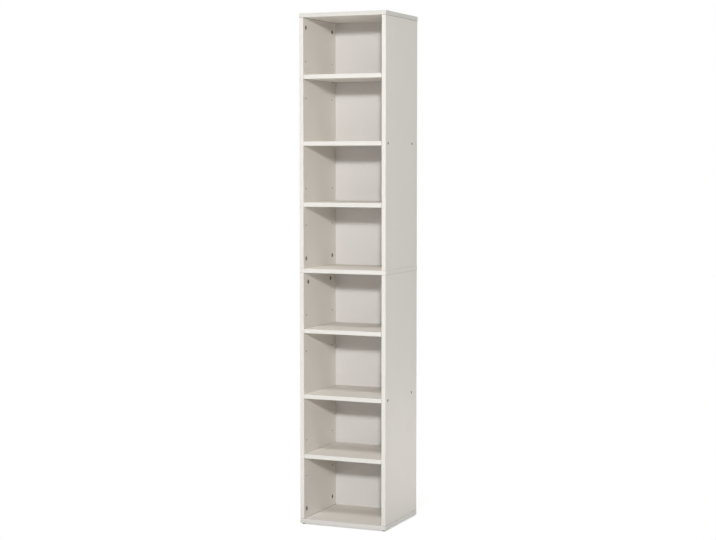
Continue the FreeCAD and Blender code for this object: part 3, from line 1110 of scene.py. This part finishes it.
def seen_directly(flow):
    """1 for what the camera, a mirror or a glass shows, 0 for the light on other surfaces."""
    camera = flow.add("ShaderNodeLightPath", output="Is Camera Ray")
    mirror = flow.add("ShaderNodeLightPath", output="Is Glossy Ray")
    glass = flow.add("ShaderNodeLightPath", output="Is Transmission Ray")
    return camera.most(mirror).most(glass)


pale = flow.add("ShaderNodeBsdfDiffuse", (), {"Color": FLOOR_PALE})
shaded_near_base = flow.add("ShaderNodeBsdfDiffuse", (), {"Color": FLOOR_SHADE_NEAR_BASE})
bounce = flow.add("ShaderNodeMixShader", (), {0: away.rise(0.0, SHADE_NEAR_BASE_REACH), 1: shaded_near_base, 2: pale})
lift = flow.add("ShaderNodeEmission", (), {"Color": WHITE, "Strength": FLOOR_LIFT})
lifted = flow.add("ShaderNodeAddShader", (), {0: pale, 1: lift})
shaded = flow.add("ShaderNodeMixShader", (), {0: contact, 1: lifted, 2: pale})
white = flow.add("ShaderNodeEmission", (), {"Color": WHITE, "Strength": 1.0})
shown = flow.add("ShaderNodeMixShader", (), {0: shadow, 1: white, 2: shaded})
surface = flow.add("ShaderNodeMixShader", (), {0: seen_directly(flow), 1: bounce, 2: shown})
floor_tree.links.new(surface.socket, floor_tree.nodes["Material Output"].inputs["Surface"])
floor.data.materials.append(floor_finish)
floor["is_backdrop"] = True
print("floor nodes:", len(floor_tree.nodes))

# %% [markdown]
# ## Light
# A weak white surrounding fills all shadows, and shows as plain white where it is looked at. Six
# soft lamps do the rest. The key lamp stands near the line of sight, so that short shadows fall
# under the shelves. A large lamp high in front reaches the tops of the shelves. Two weak ones lift
# the right side, which the key lamp only grazes: a lamp at the height of the upper unit and a
# small reflector near the floor. One stands far out on the left, for the side that no other lamp
# faces. The last one lights the back. It throws no glints, because from a low side view they would
# run over the top panel like spilt milk.

# %% The surrounding and the lamps
AMBIENT = 0.09

world = bpy.data.worlds.new("surrounding")
bpy.context.scene.world = world
world.use_nodes = True
world_tree = world.node_tree
world_tree.nodes.remove(world_tree.nodes["Background"])
flow = Flow(world_tree)
faint = flow.add("ShaderNodeBackground", (), {"Color": WHITE, "Strength": AMBIENT})
white = flow.add("ShaderNodeBackground", (), {"Color": WHITE, "Strength": 1.0})
around = flow.add("ShaderNodeMixShader", (), {0: seen_directly(flow), 1: faint, 2: white})
world_tree.links.new(around.socket, world_tree.nodes["World Output"].inputs["Surface"])


def add_lamp(name, place, target, size, power, glints=True):
    """A round soft lamp that looks from its place to its target."""
    data = bpy.data.lights.new(name, "AREA")
    data.shape = "DISK"
    data.size = size
    data.energy = power
    way = Vector(target) - Vector(place)
    lamp = bpy.data.objects.new(name, data)
    lamp.location = place
    lamp.rotation_euler = way.to_track_quat("-Z", "Y").to_euler()
    lamp.visible_glossy = glints
    bpy.context.scene.collection.objects.link(lamp)
    print(name, "stands", round(way.length, 2), "m away")


add_lamp("key_lamp", (2.88, -6.50, 2.7), (0, 0, 0.95), size=0.5, power=294.0)
add_lamp("side_reflector", (0.62, 0.05, 0.24), (0.16, 0, 0.24), size=0.3, power=0.29)
add_lamp("side_lamp", (1.9, 0.2, 1.75), (0.16, 0, 1.25), size=0.8, power=4.9)
add_lamp("left_lamp", (-3.0, 0.5, 0.9), (-0.16, 0, 0.9), size=1.0, power=18.0)
add_lamp("rear_lamp", (-2.6, 4.2, 2.2), (0, 0, 0.9), size=1.6, power=115.0, glints=False)
add_lamp("overhead_lamp", (0.6, -5.0, 8.0), (0, -0.15, 0.9), size=2.4, power=295.0)

# %% [markdown]
# ## Camera
# The picture is taken from the right, from above the middle, with a long lens. Place, turn and lens
# were fitted to the corners, the shelf lines and the screw heads. A shifted lens would keep the
# upright edges exactly parallel, but then every other view would sit off the middle. So the camera
# tilts down a little instead.

# %% The camera
CAMERA_PLACE = (2.3078, -5.3851, 1.2882)
TILT = math.radians(86.2)
TURN = math.radians(23.233)
LENS_LENGTH = 82.88
SENSOR_WIDTH = 36.0

camera_data = bpy.data.cameras.new("camera")
camera_data.sensor_width = SENSOR_WIDTH
camera_data.lens = LENS_LENGTH
camera = bpy.data.objects.new("camera", camera_data)
camera.location = CAMERA_PLACE
camera.rotation_euler = (TILT, 0, TURN)
bpy.context.scene.collection.objects.link(camera)
bpy.context.scene.camera = camera
bpy.context.scene.view_settings.view_transform = "Standard"
print("camera distance:", round(camera.location.length, 2), "m")

# %% [markdown]
# ## Check the size
# The dressed bookcase must fill the same box as the solids, so the largest change between the
# two boxes is printed.

# %% Compare both boxes
new_low, new_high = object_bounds()
changes = [*(new_low - cad_low), *(new_high - cad_high)]
print("largest change of the box:", max(abs(change) for change in changes))
